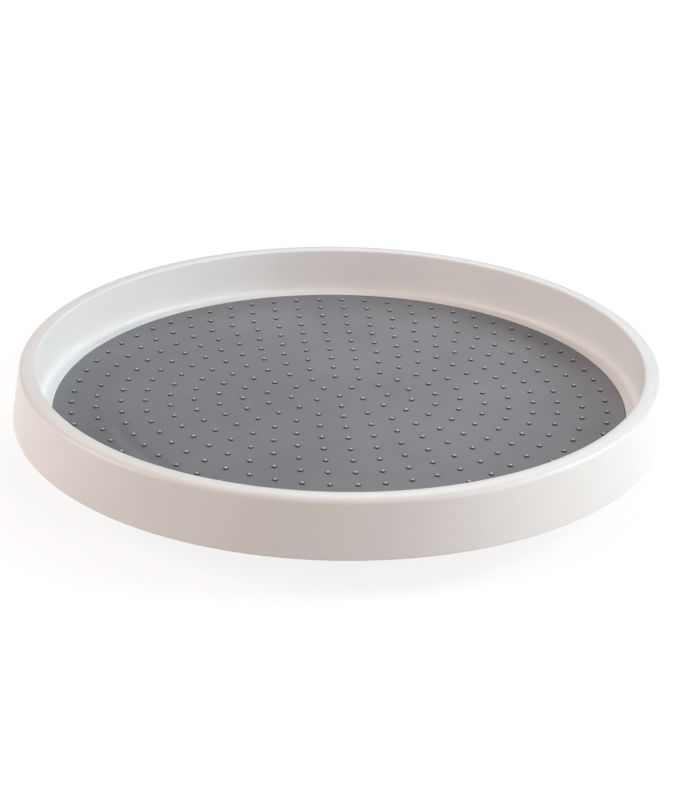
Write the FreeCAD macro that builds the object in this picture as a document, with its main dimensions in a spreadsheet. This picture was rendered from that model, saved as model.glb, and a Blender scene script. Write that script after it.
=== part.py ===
import FreeCAD, Part
import math
import os
import re
import Sketcher
from FreeCAD import Vector

# A pantry turntable: a rimmed tray with a pipped mat turns on a ring of steel balls over a
# standing base.  Millimetres, +Z up, the spin axis on Z, the feet's soles at Z = 0.

sizes = {
    # tray
    "tray_radius": 152.5,
    "rim_width": 18.0,
    "rim_rise": 23.5,
    "wall": 2.3,
    "inner_lean": 0.4,
    "outer_lean": 4.2,
    "skirt_drop": 1.8,
    "foot_round": 2.2,
    "foot_step": 6.0,
    "lip_crown": 0.35,
    "inner_round": 0.9,
    "outer_round": 2.6,
    "edge_round": 0.6,
    "deck_thickness": 2.2,
    "heel_round": 1.6,
    "rib_width": 1.8,
    "rib_depth": 3.0,
    "rib_count": 12,
    "gusset_count": 24,
    "gusset_drop": 9.0,
    "stiffener_radius": 50.0,
    # mat
    "mat_thickness": 1.5,
    "mat_gap": 0.2,
    "mat_margin": 8.6,
    "pip_radius": 1.35,
    "pip_height": 0.85,
    "pip_start": 95.4,
    # ball track
    "ball_diameter": 6.0,
    "ball_circle": 95.0,
    "race_gap": 0.15,
    "groove_ease": 0.3,
    "race_width": 12.0,
    "race_parting": 1.6,
    "race_floor": 2.15,
    "race_roof": 3.15,
    # cage
    "cage_side": 1.25,
    "cage_thickness": 2.0,
    "pocket_gap": 0.25,
    # base
    "base_margin": 5.0,
    "base_thickness": 2.4,
    "base_lip": 2.0,
    "base_lip_rise": 4.6,
    "base_round": 1.0,
    "window_hub_margin": 11.6,
    "window_race_margin": 11.0,
    "window_rib": 6.0,
    "window_half_angle": 23.0,
    "window_count": 6,
    "window_round": 3.0,
    # hub, spigot and their fastening
    "spigot_radius": 6.0,
    "spigot_gap": 0.08,
    "hub_wall": 3.0,
    "hub_top_gap": 0.7,
    "washer_cover": 3.0,
    "washer_thickness": 1.0,
    "washer_gap": 0.4,
    "washer_play": 0.3,
    "screw_radius": 2.0,
    "thread_gap": 0.05,
    "screw_length": 9.0,
    "screw_point": 1.5,
    "head_radius": 4.0,
    "head_height": 2.2,
    "head_sink": 0.9,
    "head_round": 1.0,
    "recess_half": 0.5,
    "recess_reach": 2.3,
    "recess_depth": 1.3,
    # feet
    "foot_radius": 7.0,
    "foot_height": 1.6,
    "foot_seat": 0.9,
    "foot_gap": 0.15,
    "foot_edge": 0.4,
    "foot_count": 6,
}

ballCount = 16
pipCounts = [1, 5] + [6 * ring for ring in range(2, 9)] + [6 * ring - 2 for ring in range(9, 12)]

# Levels from the shelf upwards.
baseTop = "(foot_height + base_thickness)"
raceBottom = f"({baseTop} + race_floor)"
ballLevel = f"({raceBottom} + race_gap + ball_diameter / 2)"
raceTop = f"({ballLevel} + race_gap + ball_diameter / 2)"
deckBottom = f"({raceTop} + race_roof)"
deckTop = f"({deckBottom} + deck_thickness)"
matTop = f"({deckTop} + mat_thickness)"
lipTop = f"({matTop} + rim_rise)"
skirtBottom = f"({matTop} - skirt_drop)"
headBottom = "(foot_height + head_sink)"
washerBottom = f"({headBottom} + head_height)"
spigotBottom = f"({washerBottom} + washer_thickness)"
shoulder = f"({spigotBottom} + washer_play)"
ribBottom = f"({deckBottom} - rib_depth)"
hubTop = f"({ribBottom} - hub_top_gap)"

# Radii that several pieces share.
floorRadius = "(tray_radius - rim_width)"
raceInner = "(ball_circle - race_width / 2)"
raceOuter = "(ball_circle + race_width / 2)"
grooveRadius = "(ball_diameter / 2 + groove_ease)"
pocketRadius = "(ball_diameter / 2 + pocket_gap)"
baseRadius = f"({raceOuter} + base_margin)"
hubBore = "(spigot_radius + spigot_gap)"
washerRadius = "(spigot_radius + washer_cover)"
washerSeat = f"({washerRadius} + washer_gap)"
hubRadius = f"({washerSeat} + hub_wall)"
footSeatRadius = "(foot_radius + foot_gap)"
wallFoot = f"({floorRadius} + foot_step)"
wallHead = f"({wallFoot} + inner_lean)"
skirtHead = "(tray_radius - outer_lean)"

doc = FreeCAD.newDocument("turntable")
sheet = doc.addObject("Spreadsheet::Sheet", "sizes")
for row, (word, number) in enumerate(sizes.items(), start=1):
    sheet.set(f"A{row}", word)
    sheet.set(f"B{row}", str(number))
    sheet.setAlias(f"B{row}", word)
doc.recompute()


def fromSheet(formula):
    """Point each size named in a formula at its cell."""
    return re.sub("[a-z_]+", lambda found: f"sizes.{found[0]}" if found[0] in sizes else found[0], formula)


def bind(item, prop, formula):
    item.setExpression(prop, fromSheet(formula))


def newBody(label):
    body = doc.addObject("PartDesign::Body", label)
    body.Label = label
    return body


def originPart(body, role):
    return next(part for part in body.Origin.OriginFeatures if part.Role == role)


def newSketch(body, name, role, level=None):
    sketch = body.newObject("Sketcher::SketchObject", name)
    sketch.AttachmentSupport = (originPart(body, role), [""])
    sketch.MapMode = "FlatFace"
    if level:
        bind(sketch, "AttachmentOffset.Base.z", level)
    return sketch


def pinPoint(sketch, across, up):
    """A construction point whose two coordinates come from formulas."""
    point = sketch.addGeometry(Part.Point(Vector(1, 1, 0)), True)
    for kind, formula in (("DistanceX", across), ("DistanceY", up)):
        number = sketch.addConstraint(Sketcher.Constraint(kind, point, 1, 1.0))
        bind(sketch, f"Constraints[{number}]", formula)
    return point


def placeOf(sketch, point):
    return Vector(sketch.Geometry[point].X, sketch.Geometry[point].Y, 0)


def addLine(sketch, start, end):
    line = sketch.addGeometry(Part.LineSegment(placeOf(sketch, start), placeOf(sketch, end)), False)
    sketch.addConstraint(Sketcher.Constraint("Coincident", line, 1, start, 1))
    sketch.addConstraint(Sketcher.Constraint("Coincident", line, 2, end, 1))


def addArc(sketch, start, through, end):
    """Arc between two pinned points through a third, always stored anticlockwise."""
    first = placeOf(sketch, start)
    middle = placeOf(sketch, through)
    last = placeOf(sketch, end)
    if (middle - first).cross(last - middle).z < 0:
        first, last = last, first
        start, end = end, start
    arc = sketch.addGeometry(Part.Arc(first, middle, last), False)
    sketch.addConstraint(Sketcher.Constraint("Coincident", arc, 1, start, 1))
    sketch.addConstraint(Sketcher.Constraint("Coincident", arc, 2, end, 1))
    sketch.addConstraint(Sketcher.Constraint("PointOnObject", through, 1, arc))


def outline(body, name, role, corners, level=None):
    """Closed outline through corners (across, up).  A corner that also gives a second pair starts
    an arc through that second point to the next corner."""
    sketch = newSketch(body, name, role, level)
    points = [pinPoint(sketch, corner[0], corner[1]) for corner in corners]
    middles = {place: pinPoint(sketch, *corner[2:])
               for place, corner in enumerate(corners) if len(corner) == 4}
    doc.recompute()
    for place, point in enumerate(points):
        after = points[(place + 1) % len(points)]
        if place in middles:
            addArc(sketch, point, middles[place], after)
        else:
            addLine(sketch, point, after)
    return sketch


def circle(body, name, role, across, up, radius, level=None):
    sketch = newSketch(body, name, role, level)
    centre = pinPoint(sketch, across, up)
    doc.recompute()
    ring = sketch.addGeometry(Part.Circle(placeOf(sketch, centre), Vector(0, 0, 1), 1.0), False)
    sketch.addConstraint(Sketcher.Constraint("Coincident", ring, 3, centre, 1))
    number = sketch.addConstraint(Sketcher.Constraint("Radius", ring, 1.0))
    bind(sketch, f"Constraints[{number}]", radius)
    return sketch


def box(across, up):
    """Corners of a rectangle from its two ranges."""
    return [(across[0], up[0]), (across[1], up[0]), (across[1], up[1]), (across[0], up[1])]


def spin(body, name, sketch, kind="PartDesign::Revolution"):
    """Turn a section on the XZ plane once round the Z axis."""
    before = body.Shape.Volume if body.Shape and kind.endswith("Groove") else 0
    turned = body.newObject(kind, name)
    turned.Profile = sketch
    turned.ReferenceAxis = (originPart(body, "Z_Axis"), [""])
    turned.Angle = 360
    doc.recompute()
    if kind.endswith("Groove") and body.Shape.Volume >= before:
        raise RuntimeError(f"{name} cuts nothing")
    return turned


def pad(body, name, sketch, length):
    raised = body.newObject("PartDesign::Pad", name)
    raised.Profile = sketch
    bind(raised, "Length", length)
    doc.recompute()
    return raised


def pocket(body, name, sketch, depth):
    """Cut upwards from the sketch's level."""
    before = body.Shape.Volume
    cut = body.newObject("PartDesign::Pocket", name)
    cut.Profile = sketch
    cut.Reversed = True
    bind(cut, "Length", depth)
    doc.recompute()
    if body.Shape.Volume >= before:
        raise RuntimeError(f"{name} cuts nothing")
    return cut


def around(body, name, feature, count):
    """Repeat a feature evenly round the Z axis."""
    ring = body.newObject("PartDesign::PolarPattern", name)
    ring.Originals = [feature]
    ring.Axis = (originPart(body, "Z_Axis"), [""])
    ring.Angle = 360
    if isinstance(count, str):
        bind(ring, "Occurrences", count)
    else:
        ring.Occurrences = count
    body.Tip = ring
    doc.recompute()
    return ring


def measured(formula):
    """A formula's value now, for finding the edge that it describes."""
    probe.setExpression("Length", fromSheet(formula))
    doc.recompute()
    return probe.Length.Value


def rimEdges(body, places):
    """Names of the circular edges round the Z axis at each (radius, height)."""
    wanted = [(measured(radius), measured(height)) for radius, height in places]
    names = []
    for number, edge in enumerate(body.Shape.Edges, start=1):
        if not isinstance(edge.Curve, Part.Circle):
            continue
        found = (edge.Curve.Radius, edge.Curve.Center.z)
        if any(math.dist(found, place) < 0.01 for place in wanted):
            names.append(f"Edge{number}")
    if len(names) < len(places):
        raise RuntimeError(f"{body.Label}: {len(names)} edges found of {len(places)}")
    return names


def uprightEdges(body, radii):
    """Names of the straight edges that stand along Z at each distance from the Z axis."""
    wanted = [measured(radius) for radius in radii]
    names = []
    for number, edge in enumerate(body.Shape.Edges, start=1):
        if not isinstance(edge.Curve, Part.Line) or abs(edge.Curve.Direction.z) < 0.99:
            continue
        reach = math.hypot(edge.CenterOfMass.x, edge.CenterOfMass.y)
        if any(abs(reach - place) < 0.01 for place in wanted):
            names.append(f"Edge{number}")
    return names


def fillet(body, name, edges, radius):
    base = body.Tip
    softened = body.newObject("PartDesign::Fillet", name)
    softened.Base = (base, edges)
    bind(softened, "Radius", radius)
    doc.recompute()
    return softened


def buildTray():
    body = newBody("tray")
    under = f"({lipTop} - wall)"
    section = [
        ("0", deckBottom),
        (f"({wallFoot} + wall)", deckBottom),
        (f"({wallHead} + wall)", under),
        (f"({skirtHead} - wall)", under),
        ("(tray_radius - wall)", skirtBottom),
        ("tray_radius", skirtBottom),
        (skirtHead, f"({lipTop} - lip_crown)",
         f"(({skirtHead} + {wallHead}) / 2)", lipTop),
        (wallHead, f"({lipTop} - lip_crown)"),
        (wallFoot, matTop),
        (floorRadius, matTop),
        (floorRadius, deckTop),
        ("0", deckTop),
    ]
    spin(body, "pan", outline(body, "pan_section", "XZ_Plane", section))
    lipEdge = f"({lipTop} - lip_crown)"
    fillet(body, "inner_lip", rimEdges(body, [(wallHead, lipEdge)]), "inner_round")
    fillet(body, "outer_lip", rimEdges(body, [(skirtHead, lipEdge)]), "outer_round")
    fillet(body, "outer_lip_under", rimEdges(body, [(f"({skirtHead} - wall)", under)]),
           "(outer_round - wall)")
    fillet(body, "wall_foot", rimEdges(body, [(wallFoot, matTop)]), "foot_round")
    fillet(body, "skirt_edge", rimEdges(body, [("tray_radius", skirtBottom)]), "edge_round")
    fillet(body, "heel", rimEdges(body, [(f"({wallFoot} + wall)", deckBottom)]), "heel_round")

    race = box((raceInner, raceOuter), (f"({ballLevel} + race_parting)", deckBottom))
    spin(body, "race_ring", outline(body, "race_section", "XZ_Plane", race))
    groove = circle(body, "groove_section", "XZ_Plane", "ball_circle",
                    f"({raceTop} - {grooveRadius})", grooveRadius)
    spin(body, "race_groove", groove, "PartDesign::Groove")

    spigot = box(("(screw_radius + thread_gap)", "spigot_radius"), (spigotBottom, deckBottom))
    spin(body, "spigot", outline(body, "spigot_section", "XZ_Plane", spigot))
    ring = box(("(stiffener_radius - rib_width / 2)", "(stiffener_radius + rib_width / 2)"),
               (ribBottom, deckBottom))
    spin(body, "stiffener", outline(body, "stiffener_section", "XZ_Plane", ring))

    inner = box(("(spigot_radius - rib_width / 2)", f"({raceInner} + rib_width / 2)"),
                ("-rib_width / 2", "rib_width / 2"))
    rib = pad(body, "inner_rib", outline(body, "inner_rib_plan", "XY_Plane", inner, ribBottom),
              "rib_depth")
    around(body, "inner_ribs", rib, "rib_count")
    outer = box((f"({raceOuter} - rib_width / 2)", f"({wallFoot} - heel_round)"),
                ("-rib_width / 2", "rib_width / 2"))
    rib = pad(body, "outer_rib", outline(body, "outer_rib_plan", "XY_Plane", outer, ribBottom),
              "rib_depth")
    around(body, "outer_ribs", rib, "rib_count")
    gusset = box((f"({wallHead} + wall / 2)", f"({skirtHead} - wall / 2)"),
                 ("-rib_width / 2", "rib_width / 2"))
    web = pad(body, "gusset", outline(body, "gusset_plan", "XY_Plane", gusset,
                                      f"({under} - gusset_drop)"), "gusset_drop")
    around(body, "gussets", web, "gusset_count")
    return body


def buildMat():
    body = newBody("non_slip_mat")
    matRadius = f"({floorRadius} - mat_gap)"
    disc = circle(body, "sheet_plan", "XY_Plane", "0", "0", matRadius, deckTop)
    pad(body, "mat_sheet", disc, "mat_thickness")
    capRadius = "((pip_radius^2 + pip_height^2) / (2 * pip_height))"
    for ring, count in enumerate(pipCounts):
        reach = f"(({matRadius} - mat_margin) * {ring / (len(pipCounts) - 1)})"
        start = "(pip_start + 180)" if ring == 1 else "pip_start"
        dome = body.newObject("PartDesign::AdditiveSphere", f"pip_{ring}")
        dome.AttachmentSupport = (originPart(body, "XY_Plane"), [""])
        dome.MapMode = "FlatFace"
        bind(dome, "Radius", capRadius)
        bind(dome, "Angle1", f"asin(({capRadius} - pip_height) / {capRadius})")
        bind(dome, "AttachmentOffset.Base.x", f"{reach} * cos({start})")
        bind(dome, "AttachmentOffset.Base.y", f"{reach} * sin({start})")
        bind(dome, "AttachmentOffset.Base.z", f"{matTop} + pip_height - {capRadius}")
        doc.recompute()
        if count > 1:
            around(body, f"pip_ring_{ring}", dome, count)
    return body


def buildBase():
    body = newBody("base")
    section = [
        (washerSeat, "foot_height"),
        (baseRadius, "foot_height"),
        (baseRadius, f"({baseTop} + base_lip_rise)"),
        (f"({baseRadius} - base_lip)", f"({baseTop} + base_lip_rise)"),
        (f"({baseRadius} - base_lip)", baseTop),
        (hubRadius, baseTop),
        (hubRadius, hubTop),
        (hubBore, hubTop),
        (hubBore, shoulder),
        (washerSeat, shoulder),
    ]
    spin(body, "plate", outline(body, "plate_section", "XZ_Plane", section))
    fillet(body, "plate_edge", rimEdges(body, [(baseRadius, "foot_height")]), "base_round")
    race = box((raceInner, raceOuter), (baseTop, f"({ballLevel} - race_parting)"))
    spin(body, "race_ring", outline(body, "race_section", "XZ_Plane", race))
    groove = circle(body, "groove_section", "XZ_Plane", "ball_circle",
                    f"({raceBottom} + {grooveRadius})", grooveRadius)
    spin(body, "race_groove", groove, "PartDesign::Groove")

    first = f"({hubRadius} + window_hub_margin)"
    last = f"({raceInner} - window_race_margin)"
    width = f"(({last} - {first} - window_rib) / 2)"
    for place in range(2):
        near = f"({first} + {place} * ({width} + window_rib))"
        far = f"({near} + {width})"
        half = "window_half_angle"
        corners = [
            (f"{near} * cos({half})", f"-{near} * sin({half})"),
            (f"{far} * cos({half})", f"-{far} * sin({half})", far, "0"),
            (f"{far} * cos({half})", f"{far} * sin({half})"),
            (f"{near} * cos({half})", f"{near} * sin({half})", near, "0"),
        ]
        plan = outline(body, f"window_plan_{place}", "XY_Plane", corners, "foot_height")
        cut = pocket(body, f"window_{place}", plan, "base_thickness")
        around(body, f"windows_{place}", cut, "window_count")
        fillet(body, f"window_corners_{place}", uprightEdges(body, [near, far]), "window_round")

    seat = circle(body, "foot_seat_plan", "XY_Plane", "ball_circle", "0", footSeatRadius,
                  "foot_height")
    around(body, "foot_seats", pocket(body, "foot_seat", seat, "foot_seat"), "foot_count")
    return body


def buildCage():
    body = newBody("ball_cage")
    low = f"({ballLevel} - cage_thickness / 2)"
    ring = box((f"(ball_circle - {pocketRadius} - cage_side)",
                f"(ball_circle + {pocketRadius} + cage_side)"),
               (low, f"({ballLevel} + cage_thickness / 2)"))
    spin(body, "ring", outline(body, "ring_section", "XZ_Plane", ring))
    hole = circle(body, "pocket_plan", "XY_Plane", "ball_circle", "0", pocketRadius, low)
    around(body, "pockets", pocket(body, "ball_pocket", hole, "cage_thickness"), ballCount)
    return body


def buildBalls():
    balls = []
    for number in range(ballCount):
        ball = doc.addObject("Part::Sphere", f"ball_{number + 1:02d}")
        angle = 360 * number / ballCount
        bind(ball, "Radius", "ball_diameter / 2")
        bind(ball, "Placement.Base.x", f"ball_circle * cos({angle})")
        bind(ball, "Placement.Base.y", f"ball_circle * sin({angle})")
        bind(ball, "Placement.Base.z", ballLevel)
        balls.append(ball)
    return balls


def buildWasher():
    body = newBody("washer")
    section = box(("(screw_radius + thread_gap)", washerRadius), (washerBottom, spigotBottom))
    spin(body, "disc", outline(body, "disc_section", "XZ_Plane", section))
    return body


def buildScrew():
    body = newBody("centre_screw")
    tip = f"({washerBottom} + screw_length)"
    section = [
        ("0", headBottom),
        ("head_radius", headBottom),
        ("head_radius", washerBottom),
        ("screw_radius", washerBottom),
        ("screw_radius", f"({tip} - screw_point)"),
        ("screw_radius / 3", tip),
        ("0", tip),
    ]
    spin(body, "turned", outline(body, "screw_section", "XZ_Plane", section))
    fillet(body, "pan_head", rimEdges(body, [("head_radius", headBottom)]), "head_round")
    arm = [("recess_half", "recess_half"), ("recess_reach", "recess_half"),
           ("recess_reach", "-recess_half")]
    cross = []
    for quarter in range(4):
        turn = 90 * quarter
        for across, up in arm:
            cross.append((f"({across}) * cos({turn}) + ({up}) * sin({turn})",
                          f"({up}) * cos({turn}) - ({across}) * sin({turn})"))
    plan = outline(body, "recess_plan", "XY_Plane", cross, headBottom)
    pocket(body, "cross_recess", plan, "recess_depth")
    return body


def buildFeet():
    feet = []
    for number in range(sizes["foot_count"]):
        body = newBody(f"foot_{number + 1}")
        section = [
            ("0", "0"),
            ("(foot_radius - foot_edge)", "0"),
            ("foot_radius", "foot_edge"),
            ("foot_radius", "(foot_height + foot_seat)"),
            ("0", "(foot_height + foot_seat)"),
        ]
        spin(body, "pad", outline(body, "pad_section", "XZ_Plane", section))
        angle = f"(360 * {number} / foot_count)"
        bind(body, "Placement.Base.x", f"ball_circle * cos({angle})")
        bind(body, "Placement.Base.y", f"ball_circle * sin({angle})")
        feet.append(body)
    return feet


probe = doc.addObject("Part::Box", "probe")
pieces = [buildTray(), buildMat(), buildBase(), buildCage(), buildWasher(), buildScrew()]
pieces += buildBalls() + buildFeet()
doc.removeObject(probe.Name)
doc.recompute()

for item in doc.Objects:
    if {"Invalid", "Error"} & set(item.State):
        raise RuntimeError(f"{item.Label} is not valid")
for piece in pieces:
    if piece.Shape.isNull() or not piece.Shape.isValid() or len(piece.Shape.Solids) != 1:
        raise RuntimeError(f"{piece.Label} has no sound solid")

os.makedirs("parts", exist_ok=True)
for piece in pieces:
    piece.Shape.exportStep(f"parts/{piece.Label}.step")
print(f"{len(pieces)} pieces written")
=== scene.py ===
import math
import bmesh
import bpy
from mathutils import Matrix, Vector


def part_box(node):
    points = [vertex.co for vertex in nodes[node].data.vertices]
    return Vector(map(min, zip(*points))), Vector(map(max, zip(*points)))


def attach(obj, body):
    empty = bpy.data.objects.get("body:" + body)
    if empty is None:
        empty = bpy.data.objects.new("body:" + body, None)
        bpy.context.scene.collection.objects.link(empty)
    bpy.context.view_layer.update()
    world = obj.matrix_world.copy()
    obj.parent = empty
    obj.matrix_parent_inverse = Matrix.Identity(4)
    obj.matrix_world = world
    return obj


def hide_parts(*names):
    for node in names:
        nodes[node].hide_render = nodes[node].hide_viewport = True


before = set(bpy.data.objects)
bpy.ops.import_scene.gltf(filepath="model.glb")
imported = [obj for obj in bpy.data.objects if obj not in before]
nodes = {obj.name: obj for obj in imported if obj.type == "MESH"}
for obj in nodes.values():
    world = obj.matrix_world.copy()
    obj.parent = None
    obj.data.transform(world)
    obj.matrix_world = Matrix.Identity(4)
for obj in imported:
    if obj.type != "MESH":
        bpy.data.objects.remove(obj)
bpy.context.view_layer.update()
mm = 0.001
print("frame loaded:", len(nodes), "nodes")


def linear(hexColour):
    parts = [int(hexColour[i:i + 2], 16) / 255 for i in (1, 3, 5)]
    return [c / 12.92 if c <= 0.04045 else ((c + 0.055) / 1.055) ** 2.4 for c in parts] + [1.0]


def addNode(tree, kind, settings=None, links=None):
    node = tree.nodes.new(kind)
    for name, value in (settings or {}).items():
        if isinstance(name, int) or name in node.inputs:
            node.inputs[name].default_value = value
        else:
            setattr(node, name, value)
    for name, source in (links or {}).items():
        tree.links.new(source, node.inputs[name])
    return node


def newMaterial(name, shader):
    material = bpy.data.materials.new(name)
    material.use_nodes = True
    tree = material.node_tree
    tree.nodes.clear()
    surface = addNode(tree, "ShaderNodeBsdfPrincipled", shader)
    addNode(tree, "ShaderNodeOutputMaterial", {}, {"Surface": surface.outputs[0]})
    return material, tree, surface


def newTree(name, sockets):
    tree = bpy.data.node_groups.new(name, "GeometryNodeTree")
    for label, kind in sockets:
        tree.interface.new_socket(label, in_out="INPUT", socket_type="NodeSocket" + kind)
    tree.interface.new_socket("Geometry", in_out="OUTPUT", socket_type="NodeSocketGeometry")
    return tree, tree.nodes.new("NodeGroupInput").outputs, tree.nodes.new("NodeGroupOutput")


def grown(mesh, tree, values):
    # runs a tree on a mesh and hands back the plain mesh that comes out
    carrier = bpy.data.objects.new("carrier", mesh)
    bpy.context.scene.collection.objects.link(carrier)
    modifier = carrier.modifiers.new("grow", "NODES")
    modifier.node_group = tree
    sockets = {item.name: item.identifier for item in tree.interface.items_tree
               if item.in_out == "INPUT"}
    for name, value in values.items():
        modifier[sockets[name]] = value
    ready = carrier.evaluated_get(bpy.context.evaluated_depsgraph_get())
    result = bpy.data.meshes.new_from_object(ready)
    carrier.modifiers.remove(modifier)
    bpy.data.objects.remove(carrier)
    return result


def closeUp(shape):
    # merges doubles, then points every face outwards
    bmesh.ops.remove_doubles(shape, verts=shape.verts, dist=0.002 * mm)
    bmesh.ops.recalc_face_normals(shape, faces=shape.faces)


def piece(name, meshes, material):
    whole = bmesh.new()
    for mesh in meshes:
        part = bmesh.new()
        part.from_mesh(mesh)
        closeUp(part)
        part.to_mesh(mesh)
        part.free()
        whole.from_mesh(mesh)
    mesh = bpy.data.meshes.new(name)
    whole.to_mesh(mesh)
    whole.free()
    mesh.materials.clear()
    mesh.materials.append(material)
    for face in mesh.polygons:
        face.use_smooth = True
        face.material_index = 0
    mesh.set_sharp_from_angle(angle=math.radians(32))
    thing = bpy.data.objects.new(name, mesh)
    bpy.context.scene.collection.objects.link(thing)
    print("made", name, len(mesh.polygons), "faces")
    return thing


def arc(centre, radius, first, last, steps):
    # points of an arc between two angles in degrees, as sharp corners
    points = []
    for i in range(steps + 1):
        a = math.radians(first + (last - first) * i / steps)
        points.append((centre[0] + radius * math.cos(a), centre[1] + radius * math.sin(a), 0))
    return points


def softened(corners, closed=True):
    # rounds each corner (across, up, radius) and adds a support point beside each round
    points = []
    count = len(corners)
    for i, (x, y, radius) in enumerate(corners):
        here = Vector((x, y))
        if radius == 0 or (not closed and i in (0, count - 1)):
            points.append(here)
            continue
        back = Vector(corners[i - 1][:2]) - here
        ahead = Vector(corners[(i + 1) % count][:2]) - here
        turn = back.angle(ahead)
        reach = radius / math.tan(turn / 2)
        start = here + back.normalized() * reach
        end = here + ahead.normalized() * reach
        middle = here + (back.normalized() + ahead.normalized()).normalized() * radius / math.sin(turn / 2)
        steps = max(2, round(math.degrees(math.pi - turn) / 9))
        support = min(0.35, radius * 0.5)
        if back.length > reach + 2 * support:
            points.append(start + back.normalized() * support)
        a = start - middle
        b = end - middle
        sweep = a.angle_signed(b)
        for step in range(steps + 1):
            points.append(middle + Matrix.Rotation(-sweep * step / steps, 2) @ a)
        if ahead.length > reach + 2 * support:
            points.append(end + ahead.normalized() * support)
    return points


latheReach = 0.1  # radius of the ring that a section is swept round, in metres


def latheTree():
    tree, given, out = newTree("turnedRound", [("Section", "Geometry"), ("Steps", "Int"),
                                               ("Material", "Material")])
    ring = addNode(tree, "GeometryNodeCurvePrimitiveCircle", {"Radius": latheReach},
                   {"Resolution": given["Steps"]})
    level = addNode(tree, "GeometryNodeSetCurveNormal", {"mode": "Z_UP"},
                    {"Curve": ring.outputs["Curve"]})
    section = addNode(tree, "GeometryNodeMeshToCurve", {}, {"Mesh": given["Section"]})
    swept = addNode(tree, "GeometryNodeCurveToMesh", {},
                    {"Curve": level.outputs[0], "Profile Curve": section.outputs[0]})
    tidy = addNode(tree, "GeometryNodeMergeByDistance", {"Distance": 0.001 * mm},
                   {"Geometry": swept.outputs[0]})
    real = addNode(tree, "GeometryNodeRealizeInstances", {}, {"Geometry": tidy.outputs[0]})
    painted = addNode(tree, "GeometryNodeSetMaterial", {},
                      {"Geometry": real.outputs[0], "Material": given["Material"]})
    tree.links.new(painted.outputs[0], out.inputs[0])
    return tree


def aroundTree():
    tree, given, out = newTree("aroundTheAxis", [("Shape", "Geometry"), ("Count", "Int"),
                                                 ("Start", "Float"), ("Material", "Material")])
    line = addNode(tree, "GeometryNodeMeshLine", {"Offset": (0, 0, 0)}, {"Count": given["Count"]})
    index = addNode(tree, "GeometryNodeInputIndex")
    share = addNode(tree, "ShaderNodeMath", {"operation": "DIVIDE"},
                    {0: index.outputs[0], 1: given["Count"]})
    angle = addNode(tree, "ShaderNodeMath", {"operation": "MULTIPLY_ADD", 1: 2 * math.pi},
                    {0: share.outputs[0], 2: given["Start"]})
    turn = addNode(tree, "ShaderNodeCombineXYZ", {}, {"Z": angle.outputs[0]})
    copies = addNode(tree, "GeometryNodeInstanceOnPoints", {},
                     {"Points": line.outputs[0], "Instance": given["Shape"],
                      "Rotation": turn.outputs[0]})
    real = addNode(tree, "GeometryNodeRealizeInstances", {}, {"Geometry": copies.outputs[0]})
    painted = addNode(tree, "GeometryNodeSetMaterial", {},
                      {"Geometry": real.outputs[0], "Material": given["Material"]})
    tree.links.new(painted.outputs[0], out.inputs[0])
    return tree


lathe = latheTree()
around = aroundTree()


def turned(corners, material, steps=192, closed=True):
    # a section (across, up, radius) in millimetres, turned about the spin axis
    points = softened(corners, closed)
    ring = bpy.data.meshes.new("section")
    places = [(p.x * mm - latheReach, -p.y * mm, 0) for p in points]
    last = len(places) if closed else len(places) - 1
    ring.from_pydata(places, [(i, (i + 1) % len(places)) for i in range(last)], [])
    return grown(ring, lathe, {"Steps": steps, "Material": material})


def repeated(mesh, count, material, start=0.0):
    return grown(mesh, around, {"Count": count, "Start": math.radians(start), "Material": material})


def block(low, high, rounding, lean=0.0):
    # a box between two corners in millimetres with rounded edges, narrower by lean at its foot
    shape = bmesh.new()
    bmesh.ops.create_cube(shape, size=1)
    middle = (Vector(low) + Vector(high)) / 2
    size = Vector(high) - Vector(low)
    for corner in shape.verts:
        foot = lean if corner.co.z < 0 else 0.0
        corner.co = Vector((middle.x + corner.co.x * size.x,
                            middle.y + corner.co.y * (size.y - 2 * foot),
                            middle.z + corner.co.z * size.z)) * mm
    bmesh.ops.bevel(shape, geom=shape.edges, offset=rounding * mm, segments=2, profile=0.5,
                    affect="EDGES")
    mesh = bpy.data.meshes.new("block")
    shape.to_mesh(mesh)
    shape.free()
    return mesh


def noise(tree, place, sizeMm, settings=None):
    return addNode(tree, "ShaderNodeTexNoise", {"Scale": 1 / (sizeMm * mm), **(settings or {})},
                   {"Vector": place})


def ramped(tree, value, look, low, high):
    # the look's two tones, drifting from one to the other between two levels of a value
    tone = addNode(tree, "ShaderNodeValToRGB", {}, {"Fac": value})
    for end, position, colour in zip(tone.color_ramp.elements, (low, high), ("shade", "colour")):
        end.position = position
        end.color = linear(look[colour])
    return tone


def blended(tree, value, look):
    return addNode(tree, "ShaderNodeMix", {"data_type": "RGBA", 6: linear(look["shade"]),
                                           7: linear(look["colour"])}, {0: value})


def multiplied(tree, first, second):
    return addNode(tree, "ShaderNodeMix", {"data_type": "RGBA", "blend_type": "MULTIPLY", 0: 1.0},
                   {6: first, 7: second})


def finished(tree, surface, colour, rough, bump):
    tree.links.new(colour, surface.inputs["Base Color"])
    tree.links.new(rough, surface.inputs["Roughness"])
    tree.links.new(bump, surface.inputs["Normal"])


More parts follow.
